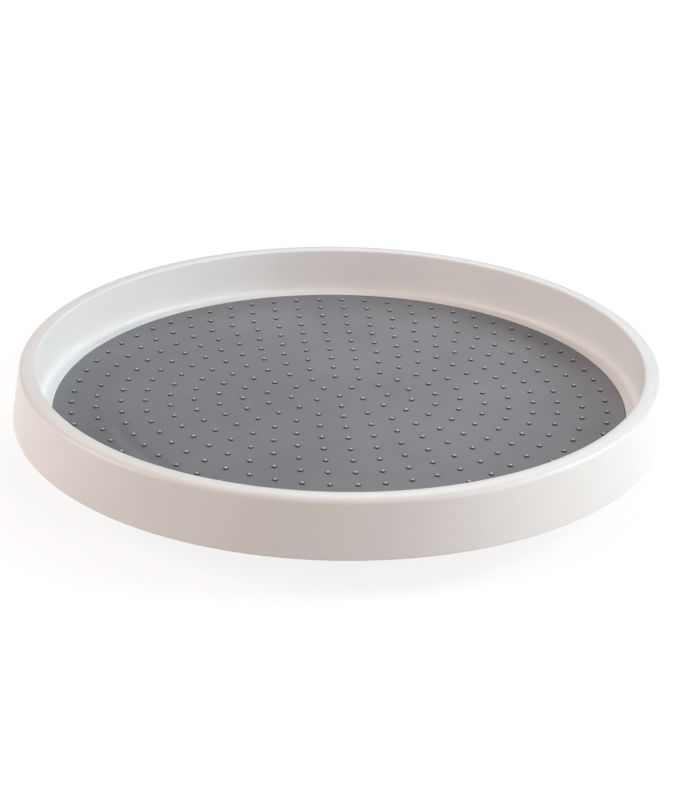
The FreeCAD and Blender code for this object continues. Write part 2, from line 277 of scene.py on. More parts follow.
def knitLine(tree, place, relief, azimuth, halfWidth, depth, near):
    # a fine upright groove where two melt fronts met, cut into a relief on one side of the axis
    swung = addNode(tree, "ShaderNodeMapping", {"vector_type": "TEXTURE",
                                                "Rotation": (0, 0, math.radians(azimuth))},
                    {"Vector": place})
    apart = addNode(tree, "ShaderNodeSeparateXYZ", {}, {"Vector": swung.outputs[0]})
    off = addNode(tree, "ShaderNodeMath", {"operation": "ABSOLUTE"}, {0: apart.outputs["Y"]})
    close = addNode(tree, "ShaderNodeMapRange", {"From Max": halfWidth * mm, "To Min": 1.0,
                                                 "To Max": 0.0}, {"Value": off.outputs[0]})
    oneSide = addNode(tree, "ShaderNodeMath", {"operation": "GREATER_THAN", 1: near * mm},
                      {0: apart.outputs["X"]})
    line = addNode(tree, "ShaderNodeMath", {"operation": "MULTIPLY"},
                   {0: close.outputs[0], 1: oneSide.outputs[0]})
    return addNode(tree, "ShaderNodeMath", {"operation": "MULTIPLY_ADD", 1: -depth},
                   {0: line.outputs[0], 2: relief.outputs[0]})


def whitePolypropylene(name, look):
    # injection-moulded polypropylene: satin, a little milky, with a fine spark-eroded grain that
    # breaks up reflections, soft flow marks in the gloss and a faint knit line
    material, tree, surface = newMaterial(name, {
        "IOR": 1.49, "Subsurface Weight": look["milkiness"], "Subsurface Scale": look["depthMm"] * mm,
        "Subsurface Radius": (1.0, 0.85, 0.7), "Specular IOR Level": 0.45})
    place = addNode(tree, "ShaderNodeTexCoord").outputs["Object"]
    flow = noise(tree, place, look["flowMm"], {"Detail": 3.0, "Distortion": 0.6})
    tone = ramped(tree, flow.outputs["Fac"], look, 0.35, 0.65)
    grain = noise(tree, place, look["grainMm"], {"Detail": 2.0})
    speck = addNode(tree, "ShaderNodeMapRange", {"To Min": 0.985, "To Max": 1.01},
                    {"Value": grain.outputs["Fac"]})
    colour = multiplied(tree, tone.outputs["Color"], speck.outputs[0])
    # handling marks: long thin scratches that only change the gloss
    stretch = addNode(tree, "ShaderNodeMapping", {"Scale": (1.0, 0.06, 0.3), "Rotation": (0.2, 0.1, 0.6)},
                      {"Vector": place})
    scratch = noise(tree, stretch.outputs[0], look["scratchMm"], {"Detail": 4.0})
    hairline = addNode(tree, "ShaderNodeMapRange", {"From Min": 0.62, "From Max": 0.72, "To Max": 0.14},
                       {"Value": scratch.outputs["Fac"]})
    gloss = addNode(tree, "ShaderNodeMapRange", {"To Min": look["roughness"] - 0.05,
                                                 "To Max": look["roughness"] + 0.06},
                    {"Value": flow.outputs["Fac"]})
    rough = addNode(tree, "ShaderNodeMath", {"operation": "ADD"},
                    {0: gloss.outputs[0], 1: hairline.outputs[0]})
    # orange peel under the grain
    peel = noise(tree, place, look["peelMm"], {"Detail": 1.0})
    relief = addNode(tree, "ShaderNodeMath", {"operation": "MULTIPLY_ADD", 1: 0.35},
                     {0: grain.outputs["Fac"], 2: peel.outputs["Fac"]})
    height = knitLine(tree, place, relief, *look["knit"]) if look["knit"] else relief
    bump = addNode(tree, "ShaderNodeBump", {"Strength": 1.0, "Distance": look["reliefMm"] * mm},
                   {"Height": height.outputs[0]})
    finished(tree, surface, colour.outputs[2], rough.outputs[0], bump.outputs[0])
    return material


def ringDip(tree, reach, radius, width, depth):
    # a soft hollow that runs round the axis, as a height below the flat
    off = addNode(tree, "ShaderNodeMath", {"operation": "SUBTRACT", 1: radius * mm},
                  {0: reach.outputs["Value"]})
    away = addNode(tree, "ShaderNodeMath", {"operation": "ABSOLUTE"}, {0: off.outputs[0]})
    return addNode(tree, "ShaderNodeMapRange", {"interpolation_type": "SMOOTHSTEP",
                                                "From Max": width * mm, "To Min": -depth,
                                                "To Max": 0.0}, {"Value": away.outputs[0]})


def greyElastomer(name, look):
    # thermoplastic elastomer pressed in a blasted mould: a dull sheen, slightly mottled, rubbed
    # smoother on the tips of the pips, which are paler from wear and a painted highlight, with painted
    # shade on their lower halves; shallow rings show where the floor under it has sunk
    material, tree, surface = newMaterial(name, {
        "IOR": 1.5, "Specular IOR Level": 0.4, "Sheen Weight": 0.06, "Sheen Roughness": 0.6})
    place = addNode(tree, "ShaderNodeTexCoord").outputs["Object"]
    mottle = noise(tree, place, look["mottleMm"], {"Detail": 4.0})
    tone = ramped(tree, mottle.outputs["Fac"], look, 0.32, 0.68)
    grain = noise(tree, place, look["grainMm"], {"Detail": 3.0, "Roughness": 0.7})
    speck = addNode(tree, "ShaderNodeMapRange", {"To Min": 0.93, "To Max": 1.07},
                    {"Value": grain.outputs["Fac"]})
    speckled = multiplied(tree, tone.outputs["Color"], speck.outputs[0])
    apart = addNode(tree, "ShaderNodeSeparateXYZ", {}, {"Vector": place})
    share = addNode(tree, "ShaderNodeMapRange", {"From Min": look["top"],
                                                 "From Max": look["top"] + look["pipHeight"]},
                    {"Value": apart.outputs["Z"]})
    # painted shade: each pip is darkened from just above the sheet to about half its height, standing in
    # for the shade on its near side
    paintedPipShade = addNode(tree, "ShaderNodeValToRGB", {}, {"Fac": share.outputs[0]})
    paintedPipShade.color_ramp.elements[0].color = (1, 1, 1, 1)
    for position, level in look["paintedPipShade"]:
        paintedPipShade.color_ramp.elements.new(position).color = (level, level, level, 1)
    withPaintedPipShade = multiplied(tree, speckled.outputs[2], paintedPipShade.outputs["Color"])
    # the pip tips turn paler, partly from wear and partly as a painted highlight on their tops
    tip = addNode(tree, "ShaderNodeMapRange", {"From Min": look["tipFrom"]}, {"Value": share.outputs[0]})
    colour = addNode(tree, "ShaderNodeMix", {"data_type": "RGBA", 7: linear(look["wearAndHighlight"])},
                     {0: tip.outputs[0], 6: withPaintedPipShade.outputs[2]})
    rough = addNode(tree, "ShaderNodeMapRange", {"To Min": look["roughness"],
                                                 "To Max": look["tipRoughness"]},
                    {"Value": tip.outputs[0]})
    flat = addNode(tree, "ShaderNodeVectorMath", {"operation": "MULTIPLY", 1: (1, 1, 0)}, {0: place})
    reach = addNode(tree, "ShaderNodeVectorMath", {"operation": "LENGTH"}, {0: flat.outputs[0]})
    height = addNode(tree, "ShaderNodeMath", {"operation": "MULTIPLY", 1: look["grainDepth"]},
                     {0: grain.outputs["Fac"]})
    for radius, width, depth in look["sinkRings"]:
        dip = ringDip(tree, reach, radius, width, depth)
        patchy = addNode(tree, "ShaderNodeMath", {"operation": "MULTIPLY"},
                         {0: dip.outputs[0], 1: mottle.outputs["Fac"]})
        height = addNode(tree, "ShaderNodeMath", {"operation": "ADD"},
                         {0: height.outputs[0], 1: patchy.outputs[0]})
    # one soft dent that follows the rings for part of the way round
    radius, width, depth, azimuth, reachAngle = look["dent"]
    a = math.radians(azimuth)
    towards = (math.cos(a), math.sin(a), 0)
    heading = addNode(tree, "ShaderNodeVectorMath", {"operation": "NORMALIZE"}, {0: flat.outputs[0]})
    facing = addNode(tree, "ShaderNodeVectorMath", {"operation": "DOT_PRODUCT", 1: towards},
                     {0: heading.outputs[0]})
    within = addNode(tree, "ShaderNodeMapRange", {"interpolation_type": "SMOOTHSTEP",
                                                  "From Min": math.cos(math.radians(reachAngle)),
                                                  "From Max": math.cos(math.radians(reachAngle / 2))},
                     {"Value": facing.outputs["Value"]})
    dip = ringDip(tree, reach, radius, width, depth)
    dent = addNode(tree, "ShaderNodeMath", {"operation": "MULTIPLY_ADD"},
                   {0: dip.outputs[0], 1: within.outputs[0], 2: height.outputs[0]})
    bump = addNode(tree, "ShaderNodeBump", {"Strength": 1.0, "Distance": 1.0 * mm},
                   {"Height": dent.outputs[0]})
    finished(tree, surface, colour.outputs[2], rough.outputs[0], bump.outputs[0])
    return material


def naturalAcetal(name, look):
    # unpigmented acetal for a ball cage: waxy and off-white, a little cloudy, with a fine grain
    material, tree, surface = newMaterial(name, {
        "IOR": 1.48, "Subsurface Weight": 0.15, "Subsurface Scale": 1.0 * mm,
        "Subsurface Radius": (1.0, 0.9, 0.7)})
    place = addNode(tree, "ShaderNodeTexCoord").outputs["Object"]
    cloud = noise(tree, place, look["cloudMm"], {"Detail": 3.0})
    tone = blended(tree, cloud.outputs["Fac"], look)
    grain = noise(tree, place, look["grainMm"])
    rough = addNode(tree, "ShaderNodeMapRange", {"To Min": 0.38, "To Max": 0.52},
                    {"Value": cloud.outputs["Fac"]})
    bump = addNode(tree, "ShaderNodeBump", {"Strength": 0.6, "Distance": 0.02 * mm},
                   {"Height": grain.outputs["Fac"]})
    finished(tree, surface, tone.outputs[2], rough.outputs[0], bump.outputs[0])
    return material


def steelFinish(name, look):
    # metal with a plated or lapped surface: the tint and gloss drift a little, and fine marks
    # run in rings where it was turned or in all directions where it was tumbled
    material, tree, surface = newMaterial(name, {"Metallic": 1.0})
    place = addNode(tree, "ShaderNodeTexCoord").outputs["Object"]
    drift = noise(tree, place, look["driftMm"], {"Detail": 3.0})
    tone = blended(tree, drift.outputs["Fac"], look)
    if look["turned"]:
        waveFactor = 20  # the wave node multiplies its scale by this
        marks = addNode(tree, "ShaderNodeTexWave", {"wave_type": "RINGS", "rings_direction": "Z",
                                                    "Scale": 1 / (look["markMm"] * mm * waveFactor),
                                                    "Distortion": 1.5, "Detail": 3.0}, {"Vector": place})
    else:
        marks = noise(tree, place, look["markMm"], {"Detail": 5.0})
    rough = addNode(tree, "ShaderNodeMapRange", {"To Min": look["roughness"] - 0.04,
                                                 "To Max": look["roughness"] + 0.08},
                    {"Value": marks.outputs["Fac"]})
    bump = addNode(tree, "ShaderNodeBump", {"Strength": 0.5, "Distance": look["reliefMm"] * mm},
                   {"Height": marks.outputs["Fac"]})
    finished(tree, surface, tone.outputs[2], rough.outputs[0], bump.outputs[0])
    return material


def footRubber(name, look):
    # die-cut rubber sheet: dark grey with a paler bloom, dull, with a pebbled grain
    material, tree, surface = newMaterial(name, {"IOR": 1.52, "Specular IOR Level": 0.35})
    place = addNode(tree, "ShaderNodeTexCoord").outputs["Object"]
    bloom = noise(tree, place, look["bloomMm"], {"Detail": 4.0})
    tone = blended(tree, bloom.outputs["Fac"], look)
    grain = addNode(tree, "ShaderNodeTexVoronoi", {"Scale": 1 / (look["grainMm"] * mm)}, {"Vector": place})
    rough = addNode(tree, "ShaderNodeMapRange", {"To Min": 0.68, "To Max": 0.86},
                    {"Value": bloom.outputs["Fac"]})
    bump = addNode(tree, "ShaderNodeBump", {"Strength": 0.7, "Distance": 0.06 * mm},
                   {"Height": grain.outputs["Distance"]})
    finished(tree, surface, tone.outputs[2], rough.outputs[0], bump.outputs[0])
    return material


def span(node):
    # outer radius, lowest and highest level of a round node, in millimetres
    low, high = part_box(node)
    return high.x / mm, low.z / mm, high.z / mm


trayRadius, spigotFoot, lipTop = span("tray")
matRadius, deckTop, pipTop = span("non_slip_mat")
baseRadius, plateBottom, hubTop = span("base")
ballLow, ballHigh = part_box("ball_01")
ballCircle = (ballLow.x + ballHigh.x) / 2 / mm
ballLevel = (ballLow.z + ballHigh.z) / 2 / mm

matLook = {
    "thickness": 1.5, "edgeRound": 0.35, "rings": 11, "reach": 125.7, "start": 95.4,
    "pipRadius": 1.35, "pipHeight": 0.85, "unevenness": 0.05, "seed": 7}

trayMaterial = whitePolypropylene("mouldedWhitePolypropylene", {
    "colour": "#F6F4F2", "shade": "#F2F0EE", "roughness": 0.34, "milkiness": 0.12, "depthMm": 1.2,
    "flowMm": 60, "grainMm": 0.45, "peelMm": 2.4, "scratchMm": 1.2, "reliefMm": 0.03,
    "knit": (-59.0, 0.35, 1.6, 130.0)})  # azimuth, half width, depth, the radius it starts at
baseMaterial = whitePolypropylene("mouldedWhiteBasePolypropylene", {
    "colour": "#F1EFED", "shade": "#EBE9E7", "roughness": 0.42, "milkiness": 0.12, "depthMm": 1.2,
    "flowMm": 40, "grainMm": 0.4, "peelMm": 2.0, "scratchMm": 1.0, "reliefMm": 0.03, "knit": None})
matMaterial = greyElastomer("pressedGreyElastomer", {
    # the pale tip colour is partly wear and partly a painted highlight
    "colour": "#818186", "shade": "#77777C", "wearAndHighlight": "#DADADC", "roughness": 0.5, "tipRoughness": 0.3,
    "mottleMm": 38, "grainMm": 0.5, "grainDepth": 0.035, "top": (pipTop - matLook["pipHeight"]) * mm,
    "pipHeight": matLook["pipHeight"] * mm, "tipFrom": 0.6,
    # painted shade on the lower half of each pip
    "paintedPipShade": [(0.03, 0.16), (0.55, 0.16), (0.78, 1.0)],  # share of a pip's height, brightness
    "sinkRings": [(89.0, 2.5, 0.05), (12.5, 1.5, 0.05)],  # radius, width, depth
    "dent": (107.5, 5.0, 0.42, -142.0, 26.0)})  # radius, width, depth, azimuth, half its spread
cageMaterial = naturalAcetal("stampedNaturalAcetal", {
    "colour": "#E9E6DA", "shade": "#DFDBCC", "cloudMm": 14, "grainMm": 0.3})
ballMaterial = steelFinish("lappedBearingSteel", {
    "colour": "#D2D3D6", "shade": "#C6C8CC", "roughness": 0.12, "driftMm": 3, "markMm": 0.25,
    "reliefMm": 0.002, "turned": False})
zincMaterial = steelFinish("zincPlatedSteel", {
    "colour": "#C3C7CB", "shade": "#AEB3B8", "roughness": 0.34, "driftMm": 2.5, "markMm": 0.3,
    "reliefMm": 0.01, "turned": True})
rubberMaterial = footRubber("dieCutFootRubber", {
    "colour": "#4A4A4C", "shade": "#3C3C3E", "bloomMm": 4, "grainMm": 0.35})
print("materials made")

trayLook = {
    "rimWidth": 18.0, "wall": 2.3, "footStep": 6.0, "innerLean": 0.4, "outerLean": 4.2,
    "skirtDrop": 1.8, "crown": 0.35, "crownPeak": 2.9, "footRound": 2.2, "innerRound": 0.9,
    "outerRound": 2.6, "edgeRound": 0.6, "deck": 2.2, "heelRound": 1.6, "ribWidth": 1.8,
    "ribDepth": 3.0, "ribCount": 12, "ribRound": 0.3, "ribDraft": 0.2, "ribRoot": 0.2,
    "gussetCount": 24, "gussetDrop": 9.0, "stiffener": 50.0, "spigot": 6.0, "screwHole": 2.05,
    "markRows": (70.0, 118.0), "markRadius": 2.5, "markDepth": 0.08, "markTurn": 15.0}
trackLook = {  # half a track's width, ball level to its face, and its groove
    "half": 6.0, "parting": 1.6, "grooveRadius": 3.3, "grooveDepth": 1.55}
matTop = deckTop + matLook["thickness"]
deckBottom = deckTop - trayLook["deck"]
ribBottom = deckBottom - trayLook["ribDepth"]
raceInner, raceOuter = ballCircle - trackLook["half"], ballCircle + trackLook["half"]


def grooveOf(level, way):
    # the ball groove in a track's face at a level, sunk upwards (1) or downwards (-1)
    radius = trackLook["grooveRadius"]
    outside = radius - trackLook["grooveDepth"]
    edge = math.degrees(math.asin(outside / radius))
    turn = 0 if way > 0 else -180
    return arc((ballCircle, level - way * outside), radius, edge + turn, 180 - edge + turn, 12)


def ejectorMark(reach, radius, low, high):
    # the round witness of an ejector pin, in millimetres, at a reach from the axis
    mark = turned([(0, low, 0), (radius, low, 0.05), (radius, high, 0), (0, high, 0)],
                  trayMaterial, 24)
    mark.transform(Matrix.Translation((reach * mm, 0, 0)))
    return mark


def makeTray():
    look = trayLook
    crown = lipTop - look["crown"]
    under = lipTop - look["wall"]
    skirtFoot = matTop - look["skirtDrop"]
    # the sharp corner that the skirt's rounded edge is cut from
    lean = math.atan2(look["outerLean"], crown - skirtFoot)
    skirt = trayRadius + look["edgeRound"] * (1 / math.tan(math.pi / 4 - lean / 2) - 1)
    recess = skirt - look["rimWidth"]
    wallFoot = recess + look["footStep"]
    wallHead = wallFoot + look["innerLean"]
    skirtHead = skirt - look["outerLean"]
    trackFoot = ballLevel + trackLook["parting"]
    stiffOut = look["stiffener"] + look["ribWidth"] / 2
    stiffIn = look["stiffener"] - look["ribWidth"] / 2
    pan = turned([
        (0, deckTop, 0), (recess, deckTop, 0.1), (recess, matTop, 0.12),
        (wallFoot, matTop, look["footRound"]), (wallHead, crown, look["innerRound"]),
        (wallHead + look["crownPeak"], lipTop, 15.0), (skirtHead, crown, look["outerRound"]),
        (skirt, skirtFoot, look["edgeRound"]), (skirt - look["wall"], skirtFoot, 0.5),
        (skirtHead - look["wall"], under, look["outerRound"] - look["wall"]),
        (wallHead + look["wall"], under, 1.0),
        (wallFoot + look["wall"], deckBottom, look["heelRound"]),
        (raceOuter, deckBottom, 0.5), (raceOuter, trackFoot, 0.3), *grooveOf(trackFoot, 1),
        (raceInner, trackFoot, 0.3), (raceInner, deckBottom, 0.5),
        (stiffOut, deckBottom, 0.4), (stiffOut, ribBottom, 0.3), (stiffIn, ribBottom, 0.3),
        (stiffIn, deckBottom, 0.4), (look["spigot"], deckBottom, 0.5),
        (look["spigot"], spigotFoot, 0.4), (look["screwHole"], spigotFoot, 0.25),
        (look["screwHole"], deckBottom - 0.4, 0), (0, deckBottom - 0.4, 0)], trayMaterial)
    half = look["ribWidth"] / 2
    root = deckBottom + look["ribRoot"]

    def web(near, far, foot, head):
        return block((near, -half, foot), (far, half, head), look["ribRound"], look["ribDraft"])

    innerRib = web(look["spigot"] - half, raceInner + half, ribBottom, root)
    outerRib = web(raceOuter - half, wallFoot - look["heelRound"], ribBottom, root)
    gusset = web(wallHead + look["wall"] / 2, skirtHead - look["wall"] / 2,
                 under - look["gussetDrop"], under + look["ribRoot"])
    parts = [pan, repeated(innerRib, look["ribCount"], trayMaterial),
             repeated(outerRib, look["ribCount"], trayMaterial),
             repeated(gusset, look["gussetCount"], trayMaterial)]
    for reach in look["markRows"]:
        mark = ejectorMark(reach, look["markRadius"], deckBottom - look["markDepth"], root)
        parts.append(repeated(mark, look["ribCount"], trayMaterial, look["markTurn"]))
    return piece("trayShell", parts, trayMaterial)


def pipTree():
    tree, given, out = newTree("pipField", [
        ("Pip", "Geometry"), ("Rings", "Int"), ("Reach", "Float"), ("Level", "Float"),
        ("Start", "Float"), ("Unevenness", "Float"), ("Seed", "Int"), ("Material", "Material")])
    up = addNode(tree, "ShaderNodeCombineXYZ", {}, {"Z": given["Level"]})
    centre = addNode(tree, "GeometryNodeMeshLine", {"Count": 1}, {"Start Location": up.outputs[0]})
    begin = tree.nodes.new("GeometryNodeRepeatInput")
    end = tree.nodes.new("GeometryNodeRepeatOutput")
    begin.pair_with_output(end)
    end.repeat_items.new("INT", "Ring")
    tree.links.new(given["Rings"], begin.inputs["Iterations"])
    tree.links.new(centre.outputs[0], begin.inputs["Geometry"])
    begin.inputs["Ring"].default_value = 1
    ring = begin.outputs["Ring"]
    following = addNode(tree, "ShaderNodeMath", {"operation": "ADD", 1: 1.0}, {0: ring})
    tree.links.new(following.outputs[0], end.inputs["Ring"])
    # six more pips each ring, five in the first, and two fewer beyond the eighth
    first = addNode(tree, "ShaderNodeMath", {"operation": "LESS_THAN", 1: 1.5}, {0: ring})
    outer = addNode(tree, "ShaderNodeMath", {"operation": "GREATER_THAN", 1: 8.5}, {0: ring})
    sixes = addNode(tree, "ShaderNodeMath", {"operation": "MULTIPLY", 1: 6.0}, {0: ring})
    fewer = addNode(tree, "ShaderNodeMath", {"operation": "MULTIPLY_ADD", 1: -2.0},
                    {0: outer.outputs[0], 2: sixes.outputs[0]})
    count = addNode(tree, "ShaderNodeMath", {"operation": "SUBTRACT"},
                    {0: fewer.outputs[0], 1: first.outputs[0]})
    points = addNode(tree, "GeometryNodeMeshLine", {"Offset": (0, 0, 0)}, {"Count": count.outputs[0]})
    index = addNode(tree, "GeometryNodeInputIndex")
    share = addNode(tree, "ShaderNodeMath", {"operation": "DIVIDE"},
                    {0: index.outputs[0], 1: count.outputs[0]})
    begun = addNode(tree, "ShaderNodeMath", {"operation": "MULTIPLY_ADD", 1: math.pi},
                    {0: first.outputs[0], 2: given["Start"]})
    angle = addNode(tree, "ShaderNodeMath", {"operation": "MULTIPLY_ADD", 1: 2 * math.pi},
                    {0: share.outputs[0], 2: begun.outputs[0]})
    part = addNode(tree, "ShaderNodeMath", {"operation": "DIVIDE"}, {0: ring, 1: given["Rings"]})
    radius = addNode(tree, "ShaderNodeMath", {"operation": "MULTIPLY"},
                     {0: part.outputs[0], 1: given["Reach"]})
    cosine = addNode(tree, "ShaderNodeMath", {"operation": "COSINE"}, {0: angle.outputs[0]})
    sine = addNode(tree, "ShaderNodeMath", {"operation": "SINE"}, {0: angle.outputs[0]})
    across = addNode(tree, "ShaderNodeMath", {"operation": "MULTIPLY"},
                     {0: cosine.outputs[0], 1: radius.outputs[0]})
    along = addNode(tree, "ShaderNodeMath", {"operation": "MULTIPLY"},
                    {0: sine.outputs[0], 1: radius.outputs[0]})
    place = addNode(tree, "ShaderNodeCombineXYZ", {},
                    {"X": across.outputs[0], "Y": along.outputs[0], "Z": given["Level"]})
    placed = addNode(tree, "GeometryNodeSetPosition", {},
                     {"Geometry": points.outputs[0], "Position": place.outputs[0]})
    gathered = addNode(tree, "GeometryNodeJoinGeometry")
    tree.links.new(begin.outputs["Geometry"], gathered.inputs[0])
    tree.links.new(placed.outputs[0], gathered.inputs[0])
    tree.links.new(gathered.outputs[0], end.inputs["Geometry"])
    least = addNode(tree, "ShaderNodeMath", {"operation": "SUBTRACT", 0: 1.0}, {1: given["Unevenness"]})
    size = addNode(tree, "FunctionNodeRandomValue", {"data_type": "FLOAT"})
    tree.links.new(least.outputs[0], size.inputs[2])
    size.inputs[3].default_value = 1.0
    tree.links.new(given["Seed"], size.inputs["Seed"])
    pips = addNode(tree, "GeometryNodeInstanceOnPoints", {},
                   {"Points": end.outputs["Geometry"], "Instance": given["Pip"],
                    "Scale": size.outputs[1]})
    real = addNode(tree, "GeometryNodeRealizeInstances", {}, {"Geometry": pips.outputs[0]})
    painted = addNode(tree, "GeometryNodeSetMaterial", {},
                      {"Geometry": real.outputs[0], "Material": given["Material"]})
    tree.links.new(painted.outputs[0], out.inputs[0])
    return tree


def pip(radius, height, root, sides=12, rings=4):
    # a low dome whose closed foot lies a little inside the sheet
    shape = bmesh.new()
    rows = []
    for share, level in [(1.0, -root)] + [(1 - i / rings, height * (1 - (1 - i / rings) ** 2) ** 0.65)
                                          for i in range(rings)]:
        rows.append([shape.verts.new((radius * share * math.cos(2 * math.pi * i / sides) * mm,
                                      radius * share * math.sin(2 * math.pi * i / sides) * mm,
                                      level * mm)) for i in range(sides)])
    tip = shape.verts.new((0, 0, height * mm))
    for lower, upper in zip(rows, rows[1:]):
        for i in range(sides):
            shape.faces.new((lower[i], lower[i - 1], upper[i - 1], upper[i]))
    for i in range(sides):
        shape.faces.new((rows[-1][i], rows[-1][i - 1], tip))
    shape.faces.new(rows[0])
    mesh = bpy.data.meshes.new("pip")
    shape.to_mesh(mesh)
    shape.free()
    return mesh


def makeMat():
    look = matLook
    sheet = turned([(0, deckTop + 0.02, 0), (matRadius, deckTop + 0.02, 0.2),
                    (matRadius, matTop, look["edgeRound"]), (matRadius - 3, matTop, 0),
                    (0, matTop, 0)], matMaterial)
    field = grown(pip(look["pipRadius"], look["pipHeight"], 0.3), pipTree(), {
        "Rings": look["rings"], "Reach": look["reach"] * mm, "Level": matTop * mm,
        "Start": math.radians(look["start"]), "Unevenness": look["unevenness"], "Seed": look["seed"],
        "Material": matMaterial})
    return piece("grippyMat", [sheet, field], matMaterial)


baseLook = {
    "plate": 2.4, "lip": 2.0, "lipRise": 4.6, "edgeRound": 1.0, "hubRadius": 12.4, "hubBore": 6.08,
    "washerSeat": 9.4, "shoulder": 6.0, "innerRow": (24.0, 48.0), "outerRow": (54.0, 78.0),
    "halfAngle": 23.0, "windowRound": 3.0, "windowEase": 0.5, "windowCount": 6}


def windowOutline(near, far, half, rounding, grow):
    # a window between two arcs and two spokes, its corners rounded, made larger by grow
    half = math.radians(half)
    farHalf = half - math.asin(rounding / (far - rounding))
    nearHalf = half - math.asin(rounding / (near + rounding))
    quarter = math.pi / 2
    points = []

    def sweep(reach, at, radius, first, last, steps):
        for i in range(steps + 1):
            a = first + (last - first) * i / steps
            points.append((reach * math.cos(at) + radius * math.cos(a),
                           reach * math.sin(at) + radius * math.sin(a)))

    # the long arcs stop a little short of the rounds they run into
    farStop, nearStop = farHalf - 0.02, nearHalf - 0.04
    sweep(0, 0, far + grow, -farStop, farStop, 22)
    sweep(far - rounding, farHalf, rounding + grow, farHalf, half + quarter, 6)
    sweep(near + rounding, nearHalf, rounding + grow, half + quarter, nearHalf + 2 * quarter, 6)
    sweep(0, 0, near - grow, nearStop, -nearStop, 12)
    sweep(near + rounding, -nearHalf, rounding + grow, 2 * quarter - nearHalf, 3 * quarter - half, 6)
    sweep(far - rounding, -farHalf, rounding + grow, 3 * quarter - half, 4 * quarter - farHalf, 6)
    return points


def windowedPlate(inner, outer, low, high):
    # the plate between two circles, pierced by two rows of windows with eased edges
    look = baseLook
    ease = look["windowEase"]
    shape = bmesh.new()
    flats = {low: [], high: []}
    steps = 192
    for level, radius in ((low, inner), (low, outer), (high, inner), (high, outer)):
        ring = [shape.verts.new((radius * math.cos(2 * math.pi * i / steps) * mm,
                                 radius * math.sin(2 * math.pi * i / steps) * mm, level * mm))
                for i in range(steps)]
        flats[level] += [shape.edges.new((ring[i - 1], ring[i])) for i in range(steps)]
    # a flat band, a quarter round, the straight wall, and the same again at the other face
    turns = [math.radians(90 * i / 4) for i in range(5)]
    band = ease + 0.4
    walls = [(band, high)]
    walls += [(ease * (1 - math.sin(t)), high - ease * (1 - math.cos(t))) for t in turns]
    walls += [(ease * (1 - math.sin(t)), low + ease * (1 - math.cos(t))) for t in reversed(turns)]
    walls += [(band, low)]
    for near, far in (look["innerRow"], look["outerRow"]):
        for place in range(look["windowCount"]):
            turn = Matrix.Rotation(2 * math.pi * place / look["windowCount"], 2)
            rows = []
            for grow, level in walls:
                outline = windowOutline(near, far, look["halfAngle"], look["windowRound"], grow)
                rows.append([shape.verts.new((*(turn @ Vector(p) * mm), level * mm)) for p in outline])
            for upper, lower in zip(rows, rows[1:]):
                for i in range(len(upper)):
                    shape.faces.new((upper[i - 1], upper[i], lower[i], lower[i - 1]))
            for row, level in ((rows[0], high), (rows[-1], low)):
                flats[level] += [shape.edges.get((row[i - 1], row[i])) for i in range(len(row))]
    for edges in flats.values():
        bmesh.ops.triangle_fill(shape, use_beauty=True, edges=edges, normal=(0, 0, 1))
    mesh = bpy.data.meshes.new("windowedPlate")
    shape.to_mesh(mesh)
    shape.free()
    return mesh


def joined(meshes):
    whole = bmesh.new()
    for mesh in meshes:
        whole.from_mesh(mesh)
    closeUp(whole)
    result = bpy.data.meshes.new("joined")
    whole.to_mesh(result)
    whole.free()
    return result


def makeBase():
    look = baseLook
    plateTop = plateBottom + look["plate"]
    hubJoin, rimJoin = 18.0, raceInner - 4.0  # where the plate meets the hub and the track
    seat, lipIn = look["washerSeat"], baseRadius - look["lip"]
    hub = turned([
        (hubJoin, plateTop, 0), (look["hubRadius"], plateTop, 0.6), (look["hubRadius"], hubTop, 0.4),
        (look["hubBore"], hubTop, 0.4), (look["hubBore"], look["shoulder"], 0.2),
        (seat, look["shoulder"], 0.2), (seat, plateBottom, 0.4), (hubJoin, plateBottom, 0)],
        baseMaterial, 192, False)
    trackTop = ballLevel - trackLook["parting"]
    rim = turned([
        (rimJoin, plateTop, 0), (raceInner, plateTop, 0.6), (raceInner, trackTop, 0.3),
        *grooveOf(trackTop, -1), (raceOuter, trackTop, 0.3), (raceOuter, plateTop, 0.4),
        (lipIn, plateTop, 0.6), (lipIn, plateTop + look["lipRise"], 0.5),
        (baseRadius, plateTop + look["lipRise"], 0.5), (baseRadius, plateBottom, look["edgeRound"]),
        (rimJoin, plateBottom, 0)],
        baseMaterial, 192, False)
    plate = windowedPlate(hubJoin, rimJoin, plateBottom, plateTop)
    return piece("standingBase", [joined([hub, plate, rim])], baseMaterial)


footLook = {"round": 0.35, "dish": 2.3, "dishDepth": 0.3, "groove": 4.6}


def makeFoot(node):
    low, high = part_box(node)
    centre = (low + high) / 2
    radius, top = (high.x - low.x) / 2 / mm, high.z / mm
    look = footLook
    pad = turned([
        (0, look["dishDepth"], 0), (look["dish"], look["dishDepth"], 0.3), (look["dish"] + 0.7, 0, 0.3),
        (look["groove"], 0, 0.15), (look["groove"] + 0.1, 0.3, 0.1), (look["groove"] + 0.5, 0.3, 0.1),
        (look["groove"] + 0.6, 0, 0.15), (radius, 0, look["round"]), (radius, top, 0), (0, top, 0)],
        rubberMaterial, 64)
    pad.transform(Matrix.Translation((centre.x, centre.y, 0)))
    return piece("footPad" + node[-1], [pad], rubberMaterial)


tray = makeTray()
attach(tray, "tray")
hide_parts("tray")
mat = makeMat()
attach(mat, "tray")
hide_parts("non_slip_mat")
base = makeBase()
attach(base, "base")
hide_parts("base")
for name in sorted(nodes):
    if name.startswith("foot_"):
        foot = makeFoot(name)
        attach(foot, "base")
        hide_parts(name)
    elif name.startswith("ball_") or name in ("washer", "centre_screw"):
        finish = (cageMaterial if name == "ball_cage" else
                  ballMaterial if name.startswith("ball_") else zincMaterial)
        for place in nodes[name].material_slots:
            place.material = finish
print("pieces made")

stageLook = {
    "span": 4.0, "white": 0.3, "glow": 0.8, "glowFrom": 0.35, "glowTo": 1.0, "counter": "#7A7370",
    "bounce": "#AAA09A", "lift": 0.42}


